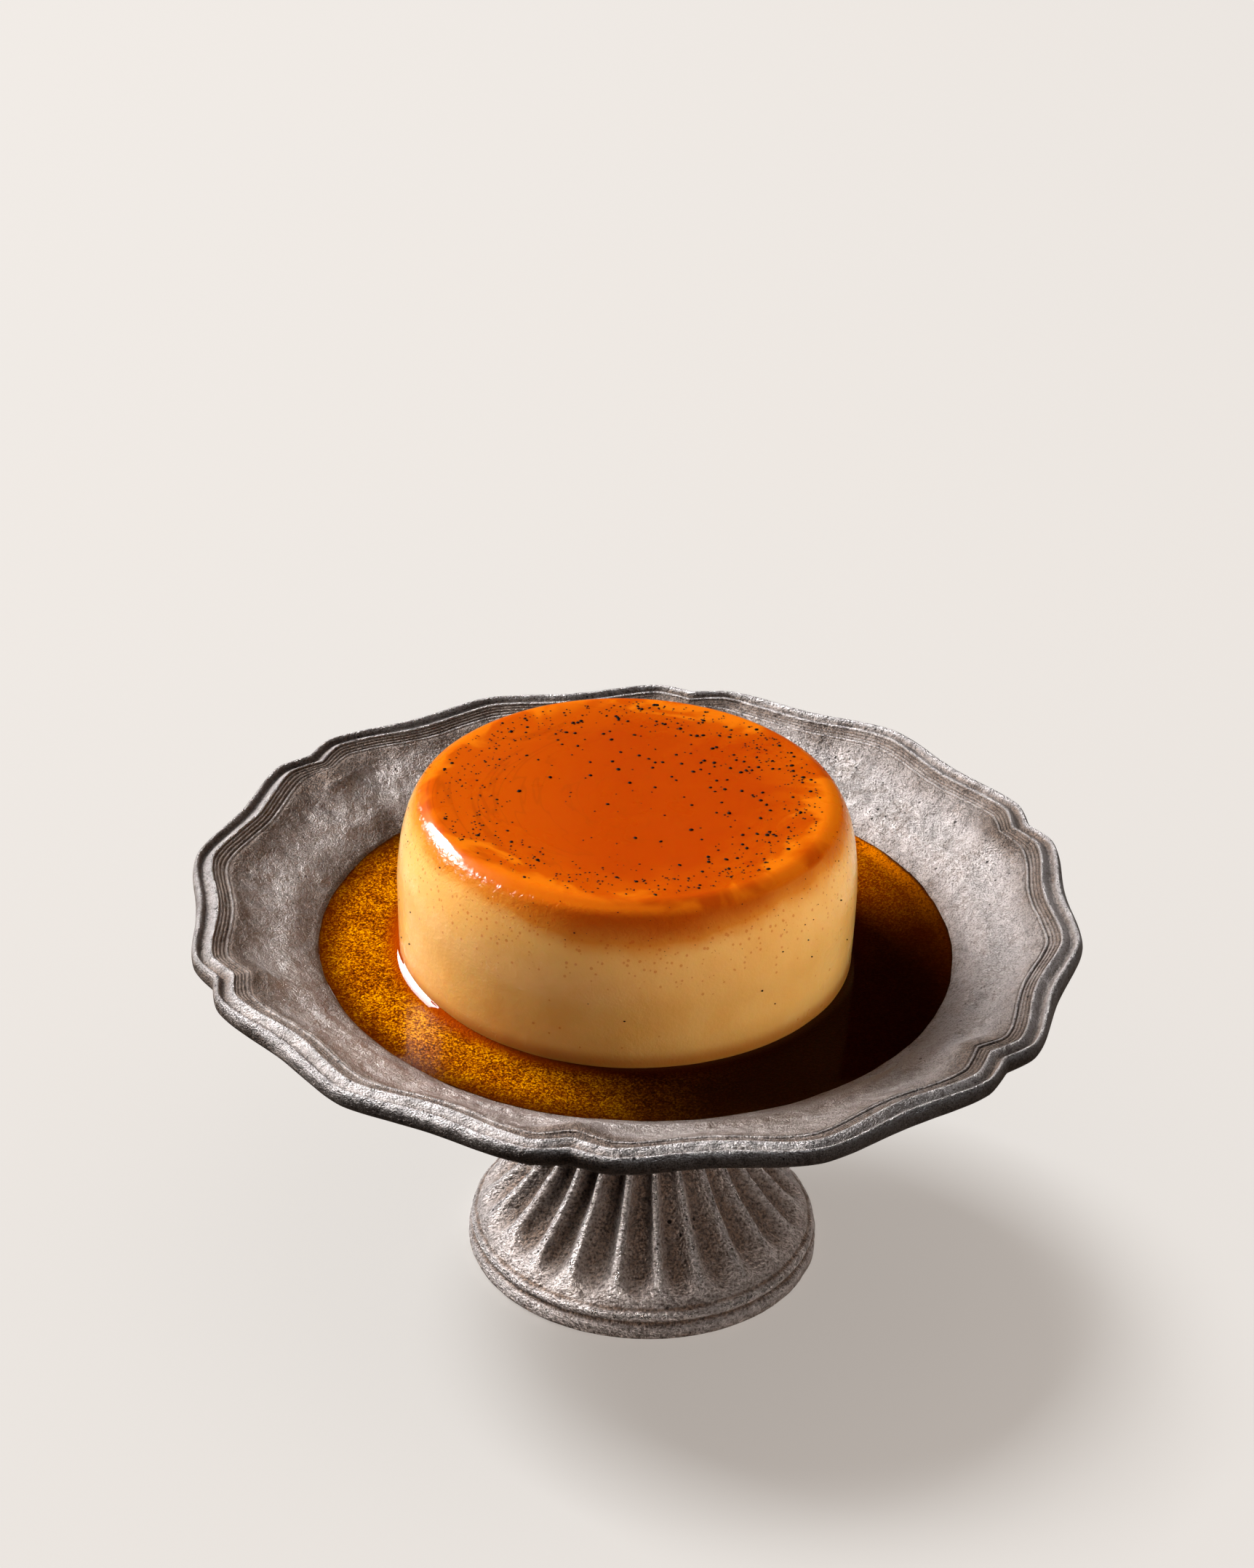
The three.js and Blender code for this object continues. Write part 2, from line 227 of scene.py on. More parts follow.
def bowlRows():
    # rows are (radius, level, *bowlMarks), from the well's middle over the rim to the underside
    s = bowlSettings
    top, reach = s["ridgeLevel"], s["reach"]
    edge, thread = reach - s["edgeIn"], reach - s["threadIn"]
    threadTop = top + s["threadLevel"]
    rows = [(0, s["floorLevel"], 0, 0, 0.5, 0, 1)]
    rows += smoothRows([
        (s["floorRadius"], s["floorLevel"], 0, 0, 0.5, 0, 1),
        (s["floorRadius"] + 5, s["floorLevel"] + 0.7, 0, 0, 0.5, 0, 1),
        (s["wallRadius"] - 1.4, 64.2, 0, 0, 0.6, 0, 1),
        (s["wallRadius"], 65.6, 0, 0, 0.75, 0, 1),
        (s["breakRadius"], s["breakLevel"], 0, 0, 0.7, 0.1, 1)], 3)[:-1]
    spans = 30
    outer = thread - 0.55
    for step in range(spans + 1):
        share = step / spans
        crease = (share / s["creasePeak"]) ** 2 if share < s["creasePeak"] else (
            1 - (share - s["creasePeak"]) / (1 - s["creasePeak"]) / 2)
        tarnish = mix(0.55, 0.12, easeInOut(share / 0.3)) + 0.5 * easeInOut((share - 0.62) / 0.38)
        panelRadius = mix(s["breakRadius"], outer, share)
        panelLevel = (mix(s["breakLevel"], threadTop - 0.22, share)
                      - s["panelSag"] * math.sin(math.pi * share)
                      + s["foldLift"] * hump(panelRadius, s["foldRadius"], s["foldWidth"]))
        rows.append((panelRadius, panelLevel, share ** 1.6, crease, tarnish, 0.1, 1))
    # the fine thread, three reeds stepping up to the inner edge, and the edge itself
    rows += [
        (thread - 0.46, threadTop - 0.3, 1.0, 0.45, 1.1, 0, 0.6),
        (thread - 0.26, threadTop - 0.12, 1.0, 0.4, 0.6, 0.2, 0.6),
        (thread - 0.08, threadTop, 1.0, 0.4, 0.25, 0.45, 0.6),
        (thread + 0.1, threadTop - 0.01, 1.0, 0.4, 0.3, 0.45, 0.6),
        (thread + 0.26, threadTop - 0.14, 1.0, 0.4, 0.7, 0.1, 0.6),
        (thread + 0.38, threadTop - 0.27, 1.0, 0.35, 1.2, 0, 0.6),
    ]
    reedStart, reedEnd = thread + 0.42, edge - 0.36
    reeds, reedSteps = 3, 7
    for reed in range(reeds):
        for step in range(1, reedSteps + 1):
            share = (reed + step / reedSteps) / reeds
            swell = math.sin(math.pi * step / reedSteps)
            level = mix(threadTop - 0.26, top - 0.5, share ** 0.9) + 0.17 * swell
            worn = mix(0.75, 0.3, share) * swell ** 0.7
            rows.append((mix(reedStart, reedEnd, share), level, mix(1.0, 1.08, share),
                         0.3 * (1 - share), 1.25 - worn, 0.12 * swell, 0.6))
    rows += [
        (edge - 0.28, top - 0.36, 1.08, 0, 0.8, 0.1, 0.4),
        (edge - 0.18, top - 0.15, 1.09, 0, 0.4, 0.45, 0.4),
        (edge, top - 0.04, 1.1, 0, 0.1, 0.7, 0.4),
    ]
    rows += smoothRows([
        (edge + 0.2, top - 0.06, 1.1, 0, 0.05, 0.7, 0.3),
        (edge + 0.75, top - 0.42, 1.1, 0, 0.25, 0.3, 0.5),
        (edge + 1.4, top - 0.86, 1.08, 0, 0.45, 0.1, 0.6),
        (reach - 1.25, top - s["coveDepth"], 1.06, 0, 0.7, 0.1, 0.6),
        (reach - 0.85, top - 0.72, 1.03, 0, 0.7, 0.1, 0.4),
        (reach - 0.45, top - 0.16, 1.0, 0, 0.2, 0.8, 0.2)], 3)
    rows += [
        (reach - 0.28, top - 0.03, 1.0, 0, 0.1, 0.7, 0.3),
        (reach - 0.12, top, 1.0, 0, 0.05, 0.7, 0.3),
        (reach + 0.04, top - 0.05, 1.0, 0, 0.1, 0.6, 0.3),
    ]
    under = top - s["edgeThickness"]
    rows += smoothRows([
        (reach + 0.28, top - 0.32, 0.97, 0, 0.1, 0.6, 0.3),
        (reach + 0.58, top - 0.95, 0.9, 0, 0.35, 0.3, 0.5),
        (reach + 0.66, top - 1.9, 0.88, 0, 0.6, 0.1, 0.6),
        (reach + 0.5, under + 0.8, 0.8, 0, 0.8, 0.0, 0.6),
        (reach - 0.3, under + 0.08, 0.8, 0, 0.7, 0.2, 0.7),
        (reach - 3.0, under - 1.0, 0.7, 0, 0.7, 0.1, 1)], 4)
    middle = s["breakRadius"] + 0.65 * (thread - 0.5 - s["breakRadius"])
    middleLevel = mix(s["breakLevel"], threadTop, 0.65) - s["panelWall"] - 0.3
    rows += smoothRows([
        (middle, middleLevel, 0.4, 0, 0.7, 0.1, 1),
        (s["breakRadius"] + 1.6, s["breakLevel"] + 0.6 - s["panelWall"], 0, 0, 0.75, 0, 1),
        (s["wallRadius"] - 2.9, s["bottomLevel"] + 1.2, 0, 0, 0.8, 0, 1),
        (s["floorRadius"] - 2, s["bottomLevel"], 0, 0, 0.8, 0, 1)], 5)
    rows += [(30, s["bottomLevel"], 0, 0, 0.8, 0, 1), (0, s["bottomLevel"], 0, 0, 0.8, 0, 1)]
    return rows


def placeBowl(angle, radius, level, values):
    s = bowlSettings
    turn = turnFromNotch(angle)
    radius += values["follow"] * outlineOffset(angle)
    level += s["creaseLift"] * values["crease"] * hump(turn, 0, s["creaseTurn"])
    x, y = around(angle, radius)
    if values["lumpy"] > 0:
        lift = s["castLumps"] * values["lumpy"] * layeredLumps(x, y, level, s["castLayers"])
        onTop = level > s["breakLevel"] - 2 and radius > 10
        level += lift if onTop or radius < s["floorRadius"] else lift * s["lumpsUnderneath"]
    nearEdge = easeInOut((values["follow"] - 0.5) / 0.4)
    radius += s["wander"] * (lumps(x, y, 0, 6, 21.4) - 0.7) * nearEdge
    nearNotch = hump(turn, 0, s["notchTarnishTurn"])
    inReeds = easeInOut((values["follow"] - 0.45) / 0.5) * (1 - values["shine"])
    patch = 0.5 + 0.5 * lumps(x, y, level, 9, 14.2)
    tarnish = values["tarnish"] * mix(0.75, 1.15, patch) + s["notchTarnish"] * nearNotch * inReeds
    insideEdge = values["follow"] < 1.05
    # painted shade with some tarnish: the panels on the left are painted darker and browner
    if level > s["breakLevel"] - 1 and insideEdge:
        tarnish += s["leftPaintedShade"] * hump(angle, s["leftPaintedShadeTurn"], s["leftPaintedShadeWidth"])
    return bowlAxis + Vector((*around(angle, radius), level)), {"tarnish": clamp(tarnish)}


bowl = spinPiece("dish_bowl_cast", bowlRows(), bowlSettings["columns"], placeBowl, bowlMarks)
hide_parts("dish_bowl")
print("bowl made:", len(bowl.data.polygons), "faces")


footSettings = {
    "baseRadius": 33.0,
    "bandHeight": 2.6,
    "beadRadius": 32.5,
    "beadLevel": 4.7,
    "fluteEndLevel": 7.2,
    "fluteEndRadius": 30.7,
    "neckRadius": 12.4,
    "neckLevel": 44.0,
    "flare": 2.15,
    "collarRadius": 19.0,
    "topLevel": 58.9,
    "flutes": 22,
    "columnsPerFlute": 20,
    "firstRidge": math.radians(5.5),
    "fluteDepth": 2.4,
    "fluteFloor": 3.4,        # higher is flatter in the middle of a flute
    "fluteWall": 1.35,        # higher is softer at its sides
    "fluteFadeIn": 0.45,      # the flutes start shallow at the neck
    "fluteRounding": 0.12,    # and end in a round
    "ridgeWander": 0.07,      # unevenness of ridges, ends and depths
    "endWander": 0.012,
    "depthWander": 0.12,
    "unevenSeed": 22,
    "ridgeShare": 0.17,       # across a flute, 0 is its middle and 1 its side
    "ridgeMiddle": 1.17,
    "ridgeWidth": 0.17,
    "ridgeLift": 0.2,
    "foldPlace": 0.84,        # a dark line where a flute's side meets its floor
    "foldWidth": 0.12,
    "tarnish": 0.18,
    "hollowTarnish": 0.74,
    "foldTarnish": 0.2,
    "ridgeTarnish": -0.55,
    "shine": 0.1,
    "ridgeShine": 0.9,
    "standWidth": 2.6,
    "castLumps": 0.2,         # the casting's roughness, and its layers
    "castLayers": ((1, 5.5, 4.4), (0.7, 1.9, 6.1), (0.5, 1.05, 9.9)),
}


def trumpetRadius(share):
    s = footSettings
    return mix(s["neckRadius"], s["fluteEndRadius"], share ** s["flare"])


def trumpetLevel(share):
    return mix(footSettings["neckLevel"], footSettings["fluteEndLevel"], share)


fluteChance = random.Random(footSettings["unevenSeed"])
fluteUneven = {kind: [fluteChance.uniform(-1, 1) for _ in range(footSettings["flutes"])]
               for kind in ("spare", "ridge", "end", "depth")}    # the spare row isn't used


def fluteRandom(index, kind):
    return fluteUneven[kind][index % footSettings["flutes"]]


# how far down the trumpet a row is, or -1 where there are no flutes, and its finish
footMarks = ("share", "tarnish", "shine", "lumpy")


def footRows():
    # rows are (radius, level, *footMarks), from the collar down the outside and up the inside
    s = footSettings
    bead, band = s["beadRadius"], s["bandHeight"]
    rows = [(0, s["topLevel"], -1, 0.8, 0, 0)]
    rows += smoothRows([
        (s["collarRadius"], s["topLevel"], -1, 0.8, 0.1, 0.5),
        (s["collarRadius"] - 0.6, s["topLevel"] - 1.7, -1, 0.8, 0.1, 1),
        (14.6, 52.9, -1, 0.7, 0.1, 1),
        (s["neckRadius"] + 0.3, 48, -1, 0.6, 0.1, 1)], 4)
    spans = 64
    for step in range(spans + 1):
        share = (step / spans) ** 0.85
        rows.append((trumpetRadius(share), trumpetLevel(share), share, 0.25, 0.2, 1))
    rows += smoothRows([
        (bead - 1.25, s["beadLevel"] + 1.45, -1, 0.35, 0.3, 1),
        (bead - 0.95, s["beadLevel"] + 1.05, -1, 0.9, 0, 0.7),
        (bead - 0.35, s["beadLevel"] + 0.75, -1, 0.35, 0.6, 0.7),
        (bead + 0.02, s["beadLevel"] + 0.1, -1, 0.1, 0.9, 0.7),
        (bead - 0.1, s["beadLevel"] - 0.8, -1, 0.35, 0.5, 0.7),
        (bead - 0.38, band + 0.72, -1, 1.0, 0, 0.7),
        (bead + 0.1, band + 0.28, -1, 0.5, 0.5, 0.8),
        (s["baseRadius"] - 0.02, band - 0.25, -1, 0.1, 0.6, 1),
        (s["baseRadius"] - 0.05, band * 0.5, -1, 0.35, 0.3, 1),
        (s["baseRadius"] - 0.1, 0.35, -1, 0.6, 0.1, 0.7),
        (s["baseRadius"] - 0.4, 0.0, -1, 0.8, 0, 0)], 3)
    inside = s["baseRadius"] - s["standWidth"]
    rows += [(inside + 0.3, 0, -1, 0.8, 0, 0), (inside, 0.5, -1, 0.8, 0, 0.5)]
    rows += smoothRows([
        (inside, 0.9, -1, 0.8, 0, 1), (29.1, 4.4, -1, 0.8, 0, 1), (24.1, 10.1, -1, 0.8, 0, 1),
        (19.3, 15.3, -1, 0.8, 0, 1), (14.3, 21.9, -1, 0.8, 0, 1), (10.3, 29.3, -1, 0.8, 0, 1),
        (5, 33.8, -1, 0.8, 0, 1), (0, 34.8, -1, 0.8, 0, 0)], 3)
    return rows


def placeFoot(angle, radius, level, values):
    s = footSettings
    share = values["share"]
    marks = {}
    if share > 0:
        turns = (angle - s["firstRidge"]) / fullTurn * s["flutes"]
        index = math.floor(turns)
        # each ridge wanders a little from its even place, and each flute has its own depth
        left = s["ridgeWander"] * fluteRandom(index, "ridge")
        right = 1 + s["ridgeWander"] * fluteRandom(index + 1, "ridge")
        across = (turns - index - left) / (right - left)
        aside = abs(across * 2 - 1) / (1 - s["ridgeShare"])
        endShare = 1 + s["endWander"] * fluteRandom(index, "end")
        nearEnd = clamp((share - endShare + s["fluteRounding"]) / s["fluteRounding"])
        rounding = math.sqrt(1 - nearEnd ** 2)
        narrow = aside / max(0.25, rounding) if nearEnd > 0 else aside
        hollow = 0 if narrow >= 1 else (1 - narrow ** s["fluteFloor"]) ** s["fluteWall"] * rounding
        cut = easeInOut(share / s["fluteFadeIn"]) * hollow
        radius -= cut * s["fluteDepth"] * (1 + s["depthWander"] * fluteRandom(index, "depth"))
        onRidge = hump(aside, s["ridgeMiddle"], s["ridgeWidth"]) * (1 - nearEnd ** 3)
        radius += s["ridgeLift"] * onRidge * easeInOut(share / 0.3)
        foldLine = hump(aside, s["foldPlace"], s["foldWidth"]) * (1 - nearEnd)
        marks["tarnish"] = clamp(s["tarnish"] + s["hollowTarnish"] * hollow
                                 + s["foldTarnish"] * foldLine + s["ridgeTarnish"] * onRidge)
        marks["shine"] = clamp(s["shine"] + s["ridgeShine"] * onRidge)
    x, y = around(angle, radius)
    radius += s["castLumps"] * values["lumpy"] * layeredLumps(x, y, level, s["castLayers"])
    if level < 12 and "tarnish" not in marks:    # the bead and the band are patchy
        marks["tarnish"] = clamp(values["tarnish"] + 0.3 * lumps(x, y, level, 3, 5.5))
    radius = min(radius, s["baseRadius"])
    return footAxis + Vector((*around(angle, radius), level)), marks


foot = spinPiece("dish_foot_cast", footRows(),
                 footSettings["flutes"] * footSettings["columnsPerFlute"], placeFoot, footMarks)
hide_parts("dish_foot")
print("foot made:", len(foot.data.polygons), "faces")


puddingSettings = {
    "columns": 288,
    "bottomLevel": 62.6,
    "baseRadius": 42.0,
    "waistRadius": 41.2,
    "bellyRadius": 41.6,
    "sauceLevel": 65.8,
    "topLevel": 96.8,
    "shoulderWidth": 6.6,
    "shoulderHeight": 17.5,
    "shoulderEase": 2.2,
    "dish": 0.7,              # how far the middle of the top sinks
    "wobble": 0.14,           # the side's unevenness, and its layers
    "wobbleLayers": ((1, 13, 2.2), (0.4, 5, 7.3)),
    "topDrop": 0.16,
    "topUneven": 0.05,
    "ringLift": 0.035,        # faint rings left in the soft top, on its left
    "ringPitch": 2.2,
    "ringRadius": 29,
    "ringWidth": 4.5,
    "ringTurn": math.radians(-75),
    "ringSpread": 1.0,
}


def puddingTop(radius):
    # the level of the dished top at a distance from the axis
    s = puddingSettings
    share = radius / (s["bellyRadius"] - s["shoulderWidth"])
    return s["topLevel"] - s["dish"] * (1 - clamp(share) ** 2)


def sideRadius(level):
    s = puddingSettings
    start = s["topLevel"] - s["shoulderHeight"]
    if level <= start:
        return mix(s["waistRadius"], s["bellyRadius"], clamp((level - s["sauceLevel"])
                                                             / (start - s["sauceLevel"])))
    rise = clamp((level - start) / s["shoulderHeight"]) ** s["shoulderEase"]
    return s["bellyRadius"] - s["shoulderWidth"] * (1 - math.sqrt(1 - rise))


def puddingRows():
    s = puddingSettings
    faceRadius = s["bellyRadius"] - s["shoulderWidth"]
    shoulderStart = s["topLevel"] - s["shoulderHeight"]
    rows = [(0, s["topLevel"] - s["dish"], 0)]
    topSteps, shoulderSteps, sideSteps = 40, 36, 18
    for step in range(1, topSteps):
        radius = faceRadius * step / topSteps
        rows.append((radius, puddingTop(radius), 0))
    turns = [mix(math.pi / 2, 0, step / shoulderSteps) for step in range(shoulderSteps)]
    levels = [shoulderStart + s["shoulderHeight"] * math.sin(turn) for turn in turns]
    levels += [mix(shoulderStart, s["sauceLevel"], step / sideSteps)
               for step in range(sideSteps + 1)]
    rows += [(sideRadius(level), level, 0) for level in levels]
    rows += [(s["baseRadius"] - 0.3, 64, 0), (s["baseRadius"] - 0.4, s["bottomLevel"] + 0.4, 0),
             (s["baseRadius"] - 0.8, s["bottomLevel"], 0), (0, s["bottomLevel"], 0)]
    return rows


def placePudding(angle, radius, level, values):
    s = puddingSettings
    x, y = around(angle, radius)
    onTop = easeInOut((level - s["topLevel"] + 2.2) / 1.4)
    side = 1 - onTop
    wobble = layeredLumps(x, y, level, s["wobbleLayers"])
    radius += s["wobble"] * side * wobble * easeInOut(radius / 20)
    onLeft = hump(angle, s["ringTurn"], s["ringSpread"])
    rings = (math.sin(radius * s["ringPitch"] + 0.8 * lumps(x, y, 0, 9, 5.0))
             * hump(radius, s["ringRadius"], s["ringWidth"]))
    uneven = s["topUneven"] * lumps(x, y, level, 10, 6.6)
    level += onTop * (s["ringLift"] * onLeft * rings + uneven - s["topDrop"])
    return puddingAxis + Vector((*around(angle, radius), level)), {}


pudding = spinPiece("pudding", puddingRows(), puddingSettings["columns"], placePudding, ("skin",))
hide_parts("custard", "caramel_top")
print("pudding made:", len(pudding.data.polygons), "faces")


sauceSettings = {
    "columns": 360,
    "level": 65.8,
    "innerRadius": 40.9,      # just inside the pudding's side
    "outerRadius": 58.05,
    "climb": 1.15,            # how far the sauce creeps up the pudding, most on its left
    "climbFront": -0.2,
    "climbWidth": 1.3,
    "climbTurn": math.radians(-66),
    "climbSpread": 0.55,
    "climbUneven": 0.16,
    "edgeClimb": 0.14,        # and up the dish
    "edgeWidth": 0.7,
    "raggedWidth": 2.0,       # its outer edge wanders over the metal
    "raggedLayers": ((0.34, 7, 1.2), (0.16, 2.1, 4.5)),
    "rings": 46,
    "ringCrowding": 1.35,     # rings of points lie closer together near the pudding
}


def sauceRows():
    # rows are (radius, level, out), where out is 0 at the pudding and 1 at the metal
    s = sauceSettings
    inner, outer = s["innerRadius"], s["outerRadius"]
    rows = []
    for ring in range(s["rings"] + 1):
        radius = mix(inner, outer, (ring / s["rings"]) ** s["ringCrowding"])
        rows.append((radius, s["level"], (radius - inner) / (outer - inner)))
    rows += [(57.3, 65.4, 1), (55.6, 64.5, 1), (52.6, 63.4, 1), (47.6, 62.65, 0.5),
             (42.5, 62.65, 0), (inner, 63.2, 0), (inner, s["level"], 0)]
    return rows


def placeSauce(angle, radius, level, values):
    s = sauceSettings
    out = values["out"]
    onSurface = level >= s["level"] - 1e-3
    if onSurface:
        sine, cosine = math.sin(angle), math.cos(angle)
        fromPudding = radius - puddingSettings["waistRadius"]
        creep = 1 + s["climbUneven"] * lumps(sine * 30, cosine * 30, 0, 12, 3.3)
        climb = mix(s["climbFront"], s["climb"], hump(angle, s["climbTurn"], s["climbSpread"]))
        level += climb * creep * math.exp(-max(0.0, fromPudding) / s["climbWidth"])
        fromMetal = s["outerRadius"] - radius
        level += s["edgeClimb"] * math.exp(-fromMetal / s["edgeWidth"])
        ragged = layeredLumps(sine * 57, cosine * 57, 0, s["raggedLayers"])
        radius += math.exp(-fromMetal / s["raggedWidth"]) * (ragged - 0.1)
    # the inner edge keeps to the pudding's axis and the outer one to the bowl's
    spot = Vector((*around(angle, radius), level))
    return bowlAxis + spot + (puddingAxis - bowlAxis) * (1 - out), {"out": out}


sauce = spinPiece("caramel_pool", sauceRows(), sauceSettings["columns"], placeSauce, ("out",))
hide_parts("caramel_sauce")
print("sauce made:", len(sauce.data.polygons), "faces")


# seeds are the larger specks of vanilla and flecks the smaller ones
seedSettings = {
    "seed": 12,
    "count": 175,
    "size": (0.27, 0.41),
    "ringShare": 0.0,         # 0 gathers them at the back right, 1 in a ring near the edge
    "sideCount": 42,
    "sideSize": (0.13, 0.24),
    "sideLevels": (68.5, 94),
    "roundness": 2,
}
fleckSettings = {
    "seed": 31,
    "count": 760,
    "size": (0.14, 0.26),
    "ringShare": 1.0,
    "sideCount": 190,
    "sideSize": (0.08, 0.16),
    "sideLevels": (86, 95.8),
    "roundness": 1,
}
speckSettings = {
    "topRadius": 34.5,
    "sink": 0.19,             # how far below the top's even level their middles lie
    "crowdTurn": math.radians(128),
    "ringRadius": 32,
    "ringWidth": 6.5,
    "stretch": ((0.85, 1.25), (0.75, 1.1), (0.45, 0.6)),
    "batch": 40,
}


def addSpeck(shape, spot, size, chance, roundness):
    made = bmesh.ops.create_icosphere(shape, subdivisions=roundness, radius=size)["verts"]
    stretch = [chance.uniform(*span) for span in speckSettings["stretch"]]
    bmesh.ops.scale(shape, vec=stretch, verts=made)
    turn = Matrix.Rotation(chance.uniform(0, fullTurn), 3, "Z")
    bmesh.ops.rotate(shape, cent=(0, 0, 0), matrix=turn, verts=made)
    bmesh.ops.translate(shape, vec=spot + puddingAxis, verts=made)


def topSpot(chance, ringShare):
    # a random place on the top, kept or drawn again by how crowded it is there
    s = speckSettings
    while True:
        angle = chance.uniform(0, fullTurn)
        radius = s["topRadius"] * math.sqrt(chance.random())
        backRight = 0.5 + 0.5 * math.cos(angle - s["crowdTurn"])
        crowd = mix(0.12 + 0.88 * backRight ** 1.3, 1, ringShare)
        ring = mix(1 - 0.5 * hump(radius, 0, 12),
                   0.06 + hump(radius, s["ringRadius"], s["ringWidth"]), ringShare)
        if chance.random() < crowd * ring:
            return Vector((*around(angle, radius), puddingTop(radius) - s["sink"]))


def sideSpot(angle, level):
    return Vector((*around(angle, sideRadius(level)), level))


def topSpecks(settings, chance):
    return [(topSpot(chance, settings["ringShare"]), chance.uniform(*settings["size"]))
            for _ in range(settings["count"])]


def sideSpecks(settings, chance):
    low, high = settings["sideLevels"]
    return [(sideSpot(chance.uniform(0, fullTurn), mix(low, high, chance.random() ** 0.7)),
             chance.uniform(*settings["sideSize"])) for _ in range(settings["sideCount"])]


def makeSpecks(name, settings):
    # made in small batches and gathered in one mesh, which is quicker
    chance = random.Random(settings["seed"])
    specks = topSpecks(settings, chance) + sideSpecks(settings, chance)
    whole = bmesh.new()
    batch = speckSettings["batch"]
    for first in range(0, len(specks), batch):
        shape = bmesh.new()
        for spot, size in specks[first:first + batch]:
            addSpeck(shape, spot, size, chance, settings["roundness"])
        mesh = bpy.data.meshes.new("batch")
        shape.to_mesh(mesh)
        shape.free()
        whole.from_mesh(mesh)
        bpy.data.meshes.remove(mesh)
    return finishPiece(name, whole)


seeds = makeSpecks("vanilla_seeds", seedSettings)
flecks = makeSpecks("vanilla_flecks", fleckSettings)
print("seeds and flecks made:", len(seeds.data.polygons) + len(flecks.data.polygons), "faces")


def paint(code):
    # a colour written as six hex digits, made linear
    parts = [int(code[i:i + 2], 16) / 255 for i in (0, 2, 4)]
    return tuple(c / 12.92 if c <= 0.04045 else ((c + 0.055) / 1.055) ** 2.4 for c in parts) + (1,)


def mixPaints(codes):
    return {key: paint(code) for key, code in codes.items()}


def addNode(tree, kind, inputs=None, **settings):
    node = tree.nodes.new(kind)
    for name, value in settings.items():
        setattr(node, name, value)
    for name, value in (inputs or {}).items():
        if isinstance(value, bpy.types.NodeSocket):
            tree.links.new(value, node.inputs[name])
        else:
            node.inputs[name].default_value = value
    return node


def calculate(tree, operation, *values, clampResult=False):
    node = addNode(tree, "ShaderNodeMath", dict(enumerate(values)), operation=operation,
                   use_clamp=clampResult)
    return node.outputs[0]


def times(tree, *values, **settings):
    return calculate(tree, "MULTIPLY", *values, **settings)


def plus(tree, *values):
    return calculate(tree, "ADD", *values)


def minus(tree, *values, **settings):
    return calculate(tree, "SUBTRACT", *values, **settings)


def fade(tree, value, start, end, low=0.0, high=1.0, smooth=True):
    # low before start and high after end
    inputs = {"Value": value, "From Min": start, "From Max": end, "To Min": low, "To Max": high}
    kind = "SMOOTHSTEP" if smooth else "LINEAR"
    return addNode(tree, "ShaderNodeMapRange", inputs, interpolation_type=kind).outputs["Result"]


def spread(tree, pattern, low, high):
    # a grain lies mostly between 0.3 and 0.7; this draws it out to run from low to high
    return fade(tree, pattern, 0.3, 0.7, low, high, smooth=False)


def blendColour(tree, share, low, high):
    node = addNode(tree, "ShaderNodeMix", data_type="RGBA", blend_type="MIX", clamp_factor=True)
    for index, value in ((0, share), (6, low), (7, high)):
        if isinstance(value, bpy.types.NodeSocket):
            tree.links.new(value, node.inputs[index])
        else:
            node.inputs[index].default_value = value
    return node.outputs[2]


def paintOver(tree, colour, *layers):
    # layers are (share, colour), each over the ones before
    for share, layer in layers:
        colour = blendColour(tree, share, colour, layer)
    return colour


def join(tree, node, sockets):
    for label, socket in sockets.items():
        tree.links.new(socket, node.inputs[label])


def grain(tree, vector, scale, detail=3, roughness=0.55, distortion=0.0):
    inputs = {"Vector": vector, "Scale": scale, "Detail": detail, "Roughness": roughness,
              "Distortion": distortion}
    return addNode(tree, "ShaderNodeTexNoise", inputs).outputs["Fac"]


def attribute(tree, name):
    return addNode(tree, "ShaderNodeAttribute", attribute_name=name).outputs["Fac"]


def newGroup(name, inputs, outputs):
    group = bpy.data.node_groups.new(name, "ShaderNodeTree")
    for label, kind, value in inputs:
        socket = group.interface.new_socket(name=label, in_out="INPUT", socket_type=kind)
        if value is not None:
            socket.default_value = value
    for label, kind in outputs:
        group.interface.new_socket(name=label, in_out="OUTPUT", socket_type=kind)
    return group, addNode(group, "NodeGroupInput").outputs, addNode(group, "NodeGroupOutput")


def newMaterial(name, constants):
    material = bpy.data.materials.new(name)
    material.use_nodes = True
    shader = material.node_tree.nodes["Principled BSDF"]
    for label, value in constants.items():
        shader.inputs[label].default_value = value
    return material, material.node_tree, shader


def objectCoordinates(tree, centre=(0, 0, 0)):
    # the piece's own coordinates in millimetres, measured from centre
    coordinates = addNode(tree, "ShaderNodeTexCoord").outputs["Object"]
    scaled = addNode(tree, "ShaderNodeMapping", {
        "Vector": coordinates, "Scale": (1 / millimetre,) * 3,
        "Location": tuple(-part for part in centre)})
    return scaled.outputs[0]


def addBump(tree, height, strength=1.0):
    # heights are in millimetres
    inputs = {"Height": height, "Strength": strength, "Distance": millimetre}
    return addNode(tree, "ShaderNodeBump", inputs).outputs["Normal"]


